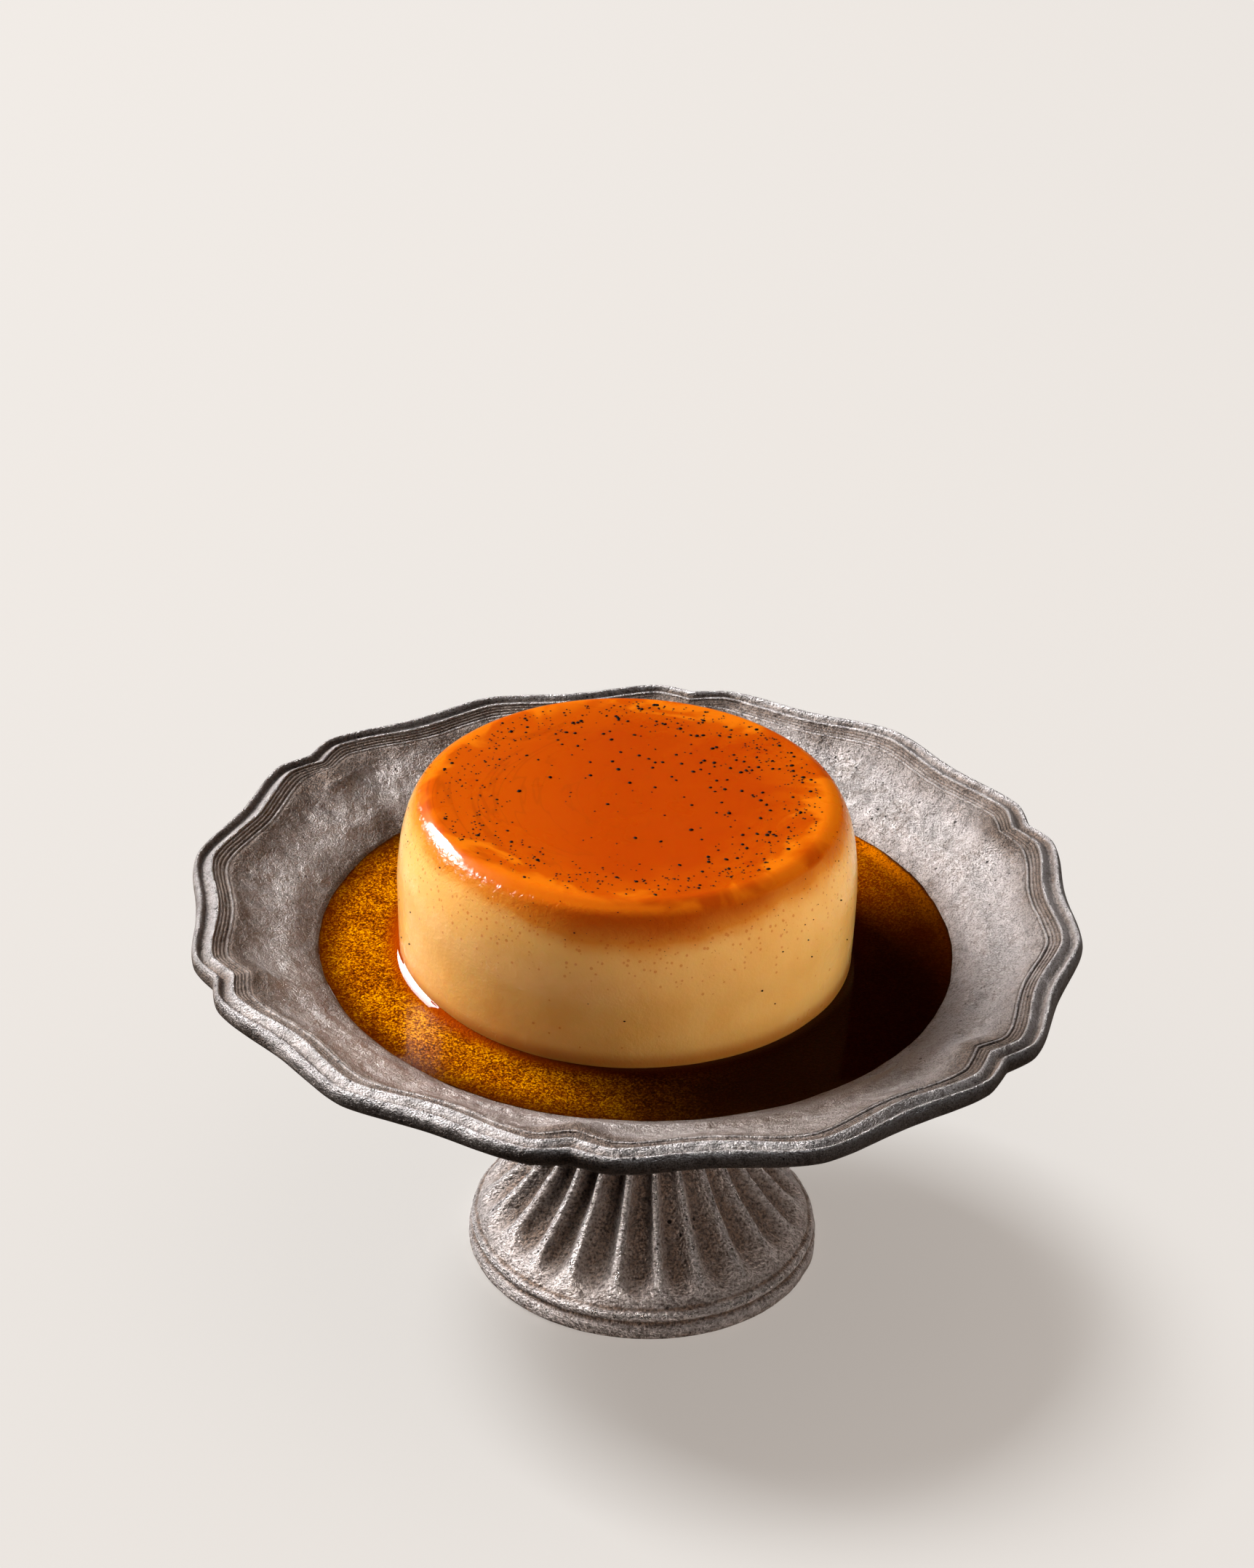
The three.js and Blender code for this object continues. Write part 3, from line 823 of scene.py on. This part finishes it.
# pewter, for the bowl and the foot
pewterPaint = {
    "grey": "857c76",
    "greyPale": "9a9492",
    "mottled": "b3aeac",
    "rubbed": "a9a6a6",
    "speckled": "453b35",
    "dirtAndShade": "2b2420",
    "dirtBrown": "624d3c",
    "pit": "1d1a19",
}
pewterSettings = {
    "cloudScale": 0.11,
    "mottleScale": 0.75,
    "fineScale": 2.6,
    "scratchScale": 1.2,
    "swellScale": 0.2,
    "pitScale": 0.62,
    "pitZoneScale": 0.16,
    "pitSize": 0.24,
    "dirtShare": 0.86,
    "speckledShare": 0.75,
    "roughness": 0.6,
    "dirtRoughness": 0.12,
    "shineSmoothness": 0.12,
    "mottleHeight": 0.5,
    "fineHeight": 0.42,
    "scratchHeight": 0.3,
    "swellHeight": 1.5,
    "pitDepth": 0.3,
}
bowlPewter = {"Grain Size": 0.8, "Pits": 0.9, "Coarseness": 0.95, "Swell": 1.05, "Polish": 0.23}
footPewter = {"Grain Size": 1.35, "Pits": 1.0, "Coarseness": 2.0, "Swell": 0.5, "Polish": 0.22}


def makePewterGroup():
    s = pewterSettings
    paints = mixPaints(pewterPaint)
    group, given, result = newGroup("castPewter", [
        ("Vector", "NodeSocketVector", None),
        ("Tarnish And Shade", "NodeSocketFloat", 0.3),
        ("Shine", "NodeSocketFloat", 0.3),
        ("Grain Size", "NodeSocketFloat", 1.0),
        ("Pits", "NodeSocketFloat", 0.5),
        ("Coarseness", "NodeSocketFloat", 0.3),
        ("Swell", "NodeSocketFloat", 0.5),
        ("Polish", "NodeSocketFloat", 0.0),
    ], [
        ("Colour", "NodeSocketColor"),
        ("Roughness", "NodeSocketFloat"),
        ("Height", "NodeSocketFloat"),
    ])
    place = addNode(group, "ShaderNodeVectorMath", {0: given["Vector"]}, operation="DIVIDE")
    size = addNode(group, "ShaderNodeCombineXYZ", {i: given["Grain Size"] for i in range(3)})
    group.links.new(size.outputs[0], place.inputs[1])
    place = place.outputs[0]
    cloud = grain(group, place, s["cloudScale"], 4, 0.55)
    mottle = grain(group, place, s["mottleScale"], 4, 0.65)
    fine = grain(group, place, s["fineScale"], 3, 0.6)
    along = addNode(group, "ShaderNodeMapping", {"Vector": place, "Rotation": (0.3, 0.2, 0.9),
                                                 "Scale": (0.35, 2.6, 2.6)}).outputs[0]
    scratch = grain(group, along, s["scratchScale"], 3, 0.7)
    # pits come in zones, and no two are of one size
    cells = addNode(group, "ShaderNodeTexVoronoi", {"Vector": place, "Scale": s["pitScale"],
                                                    "Randomness": 1.0})
    pick = addNode(group, "ShaderNodeSeparateColor", {0: cells.outputs["Color"]}).outputs[0]
    pitSize = fade(group, pick, 0.45, 1.0, 0.0, s["pitSize"], smooth=False)
    pitZone = fade(group, grain(group, place, s["pitZoneScale"], 2), 0.42, 0.62)
    pit = fade(group, minus(group, pitSize, cells.outputs["Distance"]), -0.02, 0.06)
    pit = times(group, times(group, pit, pitZone), given["Pits"])
    # tarnish sits in the hollows and breaks up in the grain; on the bowl's left panels it also
    # carries painted shade
    dirtAndShade = plus(group, given["Tarnish And Shade"], spread(group, mottle, -0.28, 0.28))
    dirtAndShade = fade(group, plus(group, dirtAndShade, spread(group, cloud, -0.2, 0.2)), 0.1, 1.05)
    speckle = plus(group, times(group, fine, 0.6), times(group, scratch, 0.4))
    speckled = fade(group, speckle, 0.56, 0.36, 0.0, s["speckledShare"])
    stainAndShade = blendColour(group, fade(group, fine, 0.35, 0.65), paints["dirtAndShade"], paints["dirtBrown"])
    colour = paintOver(group, paints["grey"],
                       (fade(group, cloud, 0.35, 0.65), paints["greyPale"]),
                       (fade(group, mottle, 0.35, 0.68), paints["mottled"]),
                       (given["Shine"], paints["rubbed"]),
                       (speckled, paints["speckled"]),
                       (times(group, dirtAndShade, s["dirtShare"]), stainAndShade),
                       (pit, paints["pit"]))
    rough = plus(group, s["roughness"], spread(group, mottle, -0.05, 0.08))
    rough = plus(group, rough, times(group, dirtAndShade, s["dirtRoughness"]))
    rough = minus(group, rough, times(group, given["Shine"], s["shineSmoothness"]))
    rough = minus(group, rough, given["Polish"])
    height = times(group, mottle, s["mottleHeight"])
    height = plus(group, height, times(group, fine, s["fineHeight"]))
    height = plus(group, height, times(group, scratch, s["scratchHeight"]))
    height = times(group, height, given["Coarseness"])
    swell = times(group, grain(group, place, s["swellScale"], 1, 0.4), given["Swell"])
    height = plus(group, height, times(group, swell, s["swellHeight"]))
    height = minus(group, height, times(group, pit, s["pitDepth"]))
    join(group, result, {"Colour": colour, "Roughness": rough, "Height": height})
    return group


def makePewter(name, group, settings):
    material, tree, shader = newMaterial(name, {"Metallic": 1.0})
    node = addNode(tree, "ShaderNodeGroup", node_tree=group)
    join(tree, node, {"Vector": objectCoordinates(tree), "Tarnish And Shade": attribute(tree, "tarnish"),
                      "Shine": attribute(tree, "shine")})
    for label, value in settings.items():
        node.inputs[label].default_value = value
    join(tree, shader, {"Base Color": node.outputs["Colour"],
                        "Roughness": node.outputs["Roughness"],
                        "Normal": addBump(tree, node.outputs["Height"])})
    return material


pewterGroup = makePewterGroup()
bowl.data.materials.append(makePewter("pewterWornBowl", pewterGroup, bowlPewter))
foot.data.materials.append(makePewter("pewterCoarseFoot", pewterGroup, footPewter))


# custard, soaked with caramel from above
custardPaint = {
    "cream": "efb766",
    "creamWarm": "ebae5b",
    "golden": "d8852a",
    "soaked": "b44c02",
    "soakedPaintedLightLeft": "da7c12",
    "paintedLightLip": "d66c06",
    "thread": "9c3c02",
    "topRing": "bb4d00",
    "topCentre": "ab3b00",
    "topPaintedLightLeft": "c15001",
    "deep": "ae3e00",
    "contact": "b8620f",
    "freckle": "bf5208",
}
custardSettings = {
    "soakLevel": 93.3,        # where cream turns to caramel, in millimetres
    "soakFrontDrop": 3.4,
    "soakLeftRise": 1.1,
    "soakUneven": 0.9,
    "soakFade": (-3.8, 3.6),
    "soakedAbove": (93.8, 95.2),
    "contactLevels": (69.5, 66.2),
    "contactShare": 0.75,
    "swirlShift": 6,          # how far the top's rings are pushed in and out
    "ringRadii": (22, 36),
    "paintedLightLipRadii": (33, 37.5),
    "topPaintedLightShare": 0.7,
    "deepAndPaintedShadowShare": 0.7,
    "threadWidth": 0.024,
    "threadShares": (0.15, 0.45),
    "paintedLightLeftShare": 0.8,
    "freckleScale": 1.1,
    "freckleLevels": (78, 90),
    "freckleSizes": (0.1, 0.34),
    "freckleShare": 0.48,
    "roughness": (0.24, 0.36),
    "bumpStrength": 0.8,
}


def makeCustard():
    s = custardSettings
    material, tree, shader = newMaterial("custardWithCaramelTop", {
        "Subsurface Weight": 0.75, "Subsurface Scale": 0.0028,
        "Subsurface Radius": (1.0, 0.38, 0.14), "IOR": 1.4, "Specular IOR Level": 0.06,
        "Coat Weight": 0.75, "Coat Roughness": 0.04, "Coat IOR": 1.5})
    paints = mixPaints(custardPaint)
    place = objectCoordinates(tree, (puddingAxis.x, puddingAxis.y, 0))
    x, y, z = addNode(tree, "ShaderNodeSeparateXYZ", {0: place}).outputs
    radius = calculate(tree, "SQRT", plus(tree, times(tree, x, x), times(tree, y, y)))
    cloud = grain(tree, place, 0.09, 3, 0.5)
    soft = grain(tree, place, 0.12, 3, 0.5, 0.4)
    # the caramel has soaked furthest down at the front
    aside = calculate(tree, "DIVIDE", x, calculate(tree, "MAXIMUM", radius, 1.0))
    facing = fade(tree, calculate(tree, "ABSOLUTE", aside), 0.0, 0.75, 1.0, 0.0)
    front = times(tree, facing, fade(tree, y, 0.0, -12.0))
    soakEnd = minus(tree, s["soakLevel"], times(tree, front, s["soakFrontDrop"]))
    soakEnd = plus(tree, soakEnd, spread(tree, cloud, -s["soakUneven"], s["soakUneven"]))
    soakEnd = plus(tree, soakEnd, fade(tree, x, -8, -36, 0, s["soakLeftRise"]))
    above = fade(tree, minus(tree, z, soakEnd), *s["soakFade"])
    soaked = calculate(tree, "MAXIMUM", above, fade(tree, z, *s["soakedAbove"]))
    low = times(tree, fade(tree, z, *s["contactLevels"]), s["contactShare"])
    cream = blendColour(tree, fade(tree, soft, 0.3, 0.7), paints["cream"], paints["creamWarm"])
    cream = blendColour(tree, low, cream, paints["contact"])
    # a wide swirl pushes the top's paler ring and its lip in and out
    swirl = grain(tree, place, 0.055, 3, 0.5, 1.6)
    inner = plus(tree, radius, spread(tree, swirl, -s["swirlShift"], s["swirlShift"]))
    # thin darker threads of caramel swirl through the top, most near the left edge
    ringed = addNode(tree, "ShaderNodeCombineXYZ", {
        0: times(tree, radius, 0.16), 1: times(tree, aside, 1.4), 2: times(tree, y, 0.012)})
    ripple = grain(tree, ringed.outputs[0], 1.1, 2, 0.5, 0.7)
    contour = calculate(tree, "ABSOLUTE", minus(tree, ripple, 0.5))
    thread = times(tree, fade(tree, contour, 0.0, s["threadWidth"], 1.0, 0.0),
                   fade(tree, x, 18, -26, *s["threadShares"]))
    top = paintOver(tree, paints["topCentre"],
                    (fade(tree, inner, *s["ringRadii"]), paints["topRing"]),
                    # painted light: the top is painted lighter on its left, the side the light
                    # comes from
                    (fade(tree, x, 2, -30, 0, s["topPaintedLightShare"]), paints["topPaintedLightLeft"]),
                    (fade(tree, swirl, 0.54, 0.7, 0, s["deepAndPaintedShadowShare"]), paints["deep"]),
                    (thread, paints["thread"]),
                    # painted light: the lip is painted lighter, as where the rounded edge turns up
                    # to the light
                    (fade(tree, inner, *s["paintedLightLipRadii"]), paints["paintedLightLip"]))
    # painted light: the soaked band is painted lighter and more golden on the left, the lit side
    soakedPaintedLightSide = blendColour(tree, fade(tree, x, -2, -30, 0, s["paintedLightLeftShare"]), paints["soaked"],
                             paints["soakedPaintedLightLeft"])
    soakedColour = blendColour(tree, fade(tree, z, 94.3, 95.7), soakedPaintedLightSide, top)
    # cream turns golden before it turns to caramel
    golden = times(tree, soaked, 2.2, clampResult=True)
    full = minus(tree, times(tree, soaked, 1.6), 0.6, clampResult=True)
    # orange freckles below the stain, thinning out down the side
    cells = addNode(tree, "ShaderNodeTexVoronoi", {"Vector": place, "Scale": s["freckleScale"],
                                                   "Randomness": 1.0})
    pick = addNode(tree, "ShaderNodeSeparateColor", {0: cells.outputs["Color"]}).outputs
    need = fade(tree, z, *s["freckleLevels"], 0.985, 0.3)
    present = calculate(tree, "GREATER_THAN", pick[0], need)
    size = fade(tree, pick[1], 0, 1, *s["freckleSizes"], smooth=False)
    spot = fade(tree, minus(tree, size, cells.outputs["Distance"]), -0.05, 0.05)
    spot = times(tree, times(tree, spot, present), fade(tree, z, 95.5, 92.5))
    colour = paintOver(tree, cream, (golden, paints["golden"]), (full, soakedColour),
                       (times(tree, spot, s["freckleShare"]), paints["freckle"]))
    # fine unevenness, faint on the top, and a ragged skin just below the edge
    height = plus(tree, times(tree, grain(tree, place, 0.5, 3), 0.12),
                  times(tree, grain(tree, place, 2.0, 2), 0.03))
    height = times(tree, height, fade(tree, z, 94.5, 96.2, 1.0, 0.25))
    ragged = times(tree, fade(tree, z, 89, 92), fade(tree, z, 96.0, 95.2))
    ragged = times(tree, ragged, grain(tree, place, 0.75, 3, 0.6, 0.8))
    height = plus(tree, height, times(tree, ragged, 0.3))
    normal = addBump(tree, height, s["bumpStrength"])
    join(tree, shader, {"Base Color": colour, "Roughness": spread(tree, soft, *s["roughness"]),
                        "Normal": normal, "Coat Normal": normal})
    return material


pudding.data.materials.append(makeCustard())


# caramel sauce over the pewter, with painted light and shade: gold on the left, a painted shadow,
# dark brown, towards the front right
saucePaint = {
    "gold": "c48a05",
    "amber": "7c3b02",
    "brown": "300e01",
    "edge": "1c0c02",
    "nearPudding": "7a2c01",
    "paintedShadeRed": "7a2e01",
    "paintedLightGold": "cf7403",
    "paintedShadow": "100200",
}
sauceFinish = {
    "paintedShadowTowards": (0.84, -0.54),    # x and y of the way in which the painted shadow darkens
    "paintedShadowFrom": (8, 44),
    "deepAndPaintedShadowShare": 0.94,
    "paintedShadeRedShare": 0.55,
    "paintedRimShadeShare": 0.85,
    "paintedLightLineShare": 0.7,
    "edgeShare": 0.9,
    "roughness": (0.74, 0.6),
    "coat": (0.09, 0.6),    # over the pool, and where it climbs the pudding
    "glitterHeight": 0.55,
}


def makeSauce():
    s = sauceFinish
    material, tree, shader = newMaterial("caramelOverPewter", {
        "Metallic": 1.0, "Coat Roughness": 0.02, "Coat IOR": 1.45, "IOR": 1.45,
        "Specular Tint": (1.0, 0.5, 0.1, 1.0)})
    paints = mixPaints(saucePaint)
    place = objectCoordinates(tree)
    out = attribute(tree, "out")
    cloud = grain(tree, place, 0.13, 3, 0.55, 0.5)
    glitter = grain(tree, place, 2.3, 4, 0.72)
    shade = plus(tree, glitter, spread(tree, cloud, -0.05, 0.05))
    x, y, _ = addNode(tree, "ShaderNodeSeparateXYZ", {0: place}).outputs
    # painted shade, darker towards its rim on the left, and painted light, a line of lit gold
    # beside the rim at the back right
    paintedRimShade = times(tree, fade(tree, x, 15, -15), fade(tree, out, 0.55, 0.98, 0, s["paintedRimShadeShare"]))
    atBack = times(tree, fade(tree, x, 20, 40), fade(tree, y, -6, 10))
    # painted light: a line of lit gold beside the rim at the back right, beyond the pudding's
    # shadow
    line = times(tree, fade(tree, out, 0.74, 0.9), fade(tree, out, 0.99, 0.94))
    line = times(tree, line, fade(tree, shade, 0.36, 0.52))
    line = times(tree, times(tree, atBack, line), s["paintedLightLineShare"])
    # painted shadow: darkest at the front right, where the pudding's shadow falls
    towards = plus(tree, times(tree, x, s["paintedShadowTowards"][0]), times(tree, y, s["paintedShadowTowards"][1]))
    colour = paintOver(tree, paints["brown"],
                       (fade(tree, shade, 0.36, 0.52), paints["amber"]),
                       (fade(tree, shade, 0.48, 0.66), paints["gold"]),
                       (fade(tree, out, 0.28, 0.03), paints["nearPudding"]),
                       # painted shade: the right half is painted darker and redder, the side away
                       # from the light
                       (fade(tree, x, 4, 30, 0, s["paintedShadeRedShare"]), paints["paintedShadeRed"]),
                       (paintedRimShade, paints["brown"]),
                       (line, paints["paintedLightGold"]),
                       (fade(tree, towards, *s["paintedShadowFrom"], 0, s["deepAndPaintedShadowShare"]), paints["paintedShadow"]),
                       (fade(tree, out, 0.95, 1.0, 0, s["edgeShare"]), paints["edge"]))
    join(tree, shader, {"Base Color": colour,
                        "Roughness": spread(tree, glitter, *s["roughness"]),
                        "Coat Weight": fade(tree, out, 0.14, 0.04, *s["coat"]),
                        "Normal": addBump(tree, times(tree, glitter, s["glitterHeight"]))})
    return material


sauce.data.materials.append(makeSauce())


vanillaPaint = {"seed": ("040202", "0c0603"), "fleck": ("1e0902", "461a03")}
vanillaSettings = {"roughness": (0.52, 0.68), "scale": 3.0}


def makeVanilla(name, dark, light):
    s = vanillaSettings
    material, tree, shader = newMaterial(name, {"Specular IOR Level": 0.1})
    speck = grain(tree, objectCoordinates(tree), s["scale"], 2)
    colour = blendColour(tree, fade(tree, speck, 0.35, 0.65), paint(dark), paint(light))
    join(tree, shader, {"Base Color": colour, "Roughness": spread(tree, speck, *s["roughness"])})
    return material


seeds.data.materials.append(makeVanilla("vanillaSeedSkin", *vanillaPaint["seed"]))
flecks.data.materials.append(makeVanilla("vanillaFleckSkin", *vanillaPaint["fleck"]))
print("materials made:", len(bpy.data.materials))


studioSettings = {
    "floorPaint": ("acabaa", "adaba9"),
    "floorSize": 9.0,
    "lampDistance": 5.0,
    "aimLevel": 0.08,
    "skyStrength": 0.33,
    "skyShown": 0.42,         # added where the camera sees the room itself
    "skyPaint": "f4e6de",
    "skyAbove": "fff2ea",
    "mirrorPaint": "1f1c1b",
    "mirrorAbove": "40403f",
    "mirrorGround": "b5a599",
    "mirrorBehindCamera": "4e4947",
}
# turn and lift in degrees, width and height in metres, power in watts, and tint
lampSettings = {
    "window": (-122, 33, 2.6, 1.35, 490, (1.0, 0.99, 0.985)),
    "card": (80, 14, 2.4, 1.8, 185, (1.0, 0.95, 0.9)),
    "sideFill": (-100, 8, 2.4, 1.6, 78, (1.0, 0.98, 0.94)),
    "floorLight": (-124.6, 56, 1.7, 1.7, 262, (0.97, 1.0, 1.01)),
    "floorFlat": (0, 89, 3.0, 3.0, 262, (0.97, 0.9, 0.84)),
    "metalWindow": (-139, 33, 2.6, 1.35, 222, (0.985, 0.99, 1.01)),
    "metalCard": (80, 14, 2.4, 1.8, 32, (1.0, 0.95, 0.93)),
    "lowBox": (-134, 14, 2.4, 1.8, 140, (1.0, 0.95, 0.93)),
    "warmBox": (150, 16, 2.6, 1.8, 9, (1.0, 0.74, 0.58)),
    "backBox": (180, 74, 2.8, 2.4, 95, (0.95, 0.98, 1.03)),
    "glow": (-136, 33, 1.9, 2.4, 520, (1.0, 1.0, 1.0)),
    "footFront": (38, 20, 2.6, 1.8, 430, (1.0, 0.85, 0.76)),
    "footBox": (-108, 28, 3.2, 1.8, 330, (1.0, 0.9, 0.84)),
}
cameraSettings = {
    "lens": 90.23,
    "sensor": 36,
    "clip": (0.05, 20),
    "lean": math.radians(29.93),
    "roll": 0.032,
    "place": (-0.00189, -0.6072, 0.4485),
}


def aimLight(name, turn, lift, width, height, power, tint):
    s = studioSettings
    turn, lift = math.radians(turn), math.radians(lift)
    lamp = bpy.data.lights.new(name, "AREA")
    lamp.shape, lamp.size, lamp.size_y = "RECTANGLE", width, height
    lamp.energy, lamp.color = power, tint
    away = Vector((*around(turn, math.cos(lift)), math.sin(lift)))
    light = bpy.data.objects.new(name, lamp)
    light.location = away * s["lampDistance"] + Vector((0, 0, s["aimLevel"]))
    light.rotation_euler = away.to_track_quat("Z", "Y").to_euler()
    bpy.context.scene.collection.objects.link(light)
    return light


def makeFloor():
    s = studioSettings
    shape = bmesh.new()
    bmesh.ops.create_grid(shape, x_segments=2, y_segments=2, size=s["floorSize"] / 2)
    mesh = bpy.data.meshes.new("studioFloor")
    shape.to_mesh(mesh)
    shape.free()
    floor = bpy.data.objects.new("studioFloor", mesh)
    bpy.context.scene.collection.objects.link(floor)
    material, tree, shader = newMaterial("paleFloor", {"Roughness": 0.9, "Specular IOR Level": 0.0})
    tone = grain(tree, objectCoordinates(tree), 0.004, 2)
    pale, paler = (paint(code) for code in s["floorPaint"])
    join(tree, shader, {"Base Color": blendColour(tree, tone, pale, paler)})
    mesh.materials.append(material)
    floor.visible_glossy = False
    return floor


def makeWorld():
    # a pale room for soft light, paler still to the camera, and darker walls for metal to mirror
    s = studioSettings
    world = bpy.data.worlds.new("studio")
    bpy.context.scene.world = world
    world.use_nodes = True
    world.cycles.sampling_method = "NONE"    # so that each kind of ray sees its own studio
    tree = world.node_tree
    tree.nodes.clear()
    direction = addNode(tree, "ShaderNodeTexCoord").outputs["Generated"]
    _, y, z = addNode(tree, "ShaderNodeSeparateXYZ", {0: direction}).outputs
    path = addNode(tree, "ShaderNodeLightPath").outputs
    front = times(tree, fade(tree, y, 0.2, -0.5), 0.5)
    mirrored = paintOver(tree, paint(s["mirrorPaint"]),
                         (fade(tree, z, 0.3, 0.95), paint(s["mirrorAbove"])),
                         (fade(tree, z, 0.05, -0.3), paint(s["mirrorGround"])),
                         (front, paint(s["mirrorBehindCamera"])))
    soft = blendColour(tree, fade(tree, z, -0.2, 0.6), paint(s["skyPaint"]), paint(s["skyAbove"]))
    seen = blendColour(tree, path["Is Glossy Ray"], soft, mirrored)
    shown = times(tree, path["Is Camera Ray"], s["skyShown"])
    room = addNode(tree, "ShaderNodeBackground", {
        "Color": seen, "Strength": plus(tree, s["skyStrength"], shown)})
    tree.links.new(room.outputs[0], addNode(tree, "ShaderNodeOutputWorld").inputs[0])


def makeCamera():
    s = cameraSettings
    data = bpy.data.cameras.new("camera")
    data.lens, data.sensor_width = s["lens"], s["sensor"]
    data.clip_start, data.clip_end = s["clip"]
    camera = bpy.data.objects.new("camera", data)
    lean, roll = s["lean"], s["roll"]
    right = Vector((1, 0, 0))
    up = Vector((0, math.sin(lean), math.cos(lean)))
    ahead = Vector((0, math.cos(lean), -math.sin(lean)))
    across = right * math.cos(roll) + up * math.sin(roll)
    upright = up * math.cos(roll) - right * math.sin(roll)
    turn = Matrix((across, upright, -ahead)).transposed().to_4x4()
    camera.matrix_world = Matrix.Translation(s["place"]) @ turn
    bpy.context.scene.collection.objects.link(camera)
    bpy.context.scene.camera = camera


def lightOnly(names, pieces, label, excluded=False):
    # these lamps light only these pieces, or everything but them
    chosen = bpy.data.collections.new(label)
    for index, piece in enumerate(pieces):
        chosen.objects.link(piece)
        if excluded:
            chosen.collection_objects[index].light_linking.link_state = "EXCLUDE"
    for name in names:
        lights[name].light_linking.receiver_collection = chosen
    return chosen


floor = makeFloor()
makeWorld()
makeCamera()
lights = {name: aimLight(name, *settings) for name, settings in lampSettings.items()}
for name in ("card", "sideFill"):
    lights[name].visible_glossy = False
# the floor has its own lamps: one higher up for a short soft shadow, one that only brightens it
floorOnly = lightOnly(("floorLight", "floorFlat"), (floor,), "floorOnly")
lights["floorFlat"].light_linking.blocker_collection = floorOnly
shadowCasters = lightOnly((), (pudding, sauce, foot), "shadowCasters")
lights["floorLight"].light_linking.blocker_collection = shadowCasters
lightOnly(("window",), (floor,), "notFloor", True)
lightOnly(("card",), (floor, sauce, bowl), "puddingAndFoot", True)
# the metal and the sauce mirror more of the room than the custard does
lightOnly(("metalWindow",), (bowl, foot), "bowlAndFoot")
lightOnly(("metalCard", "lowBox", "warmBox", "backBox"), (bowl, foot), "metalOnly")
lightOnly(("glow",), (sauce,), "sauceOnly")
lightOnly(("sideFill",), (pudding,), "puddingOnly")
lightOnly(("footBox", "footFront"), (foot,), "footOnly")
bpy.context.scene.view_settings.view_transform = "Standard"
print("studio made")
